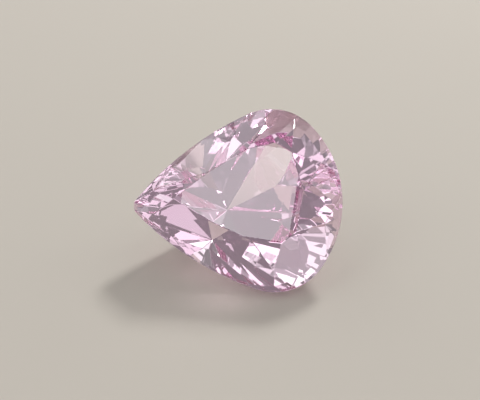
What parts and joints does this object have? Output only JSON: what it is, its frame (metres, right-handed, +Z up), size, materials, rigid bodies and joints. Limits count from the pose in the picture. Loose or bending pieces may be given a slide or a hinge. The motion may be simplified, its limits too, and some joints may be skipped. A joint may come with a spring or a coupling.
{
  "type": "pear-cut kunzite gemstone",
  "caption": "Loose pear-shaped kunzite, pale lilac pink, with a large flat table, a faceted crown and a stepped pavilion, lying on one pavilion facet.",
  "frame": {"origin": "centre of the bounding box at the level of the facet that the stone lies on", "axes": "+Z up; +X along the stone's long axis, from the tip to the round head; the table faces up and towards -Y"},
  "size_m": [0.0244, 0.0164, 0.0167],
  "materials": {
    "crystal": "polished"
  },
  "bodies": {
    "root": {"kunzite": "crystal"}
  },
  "joints": []
}
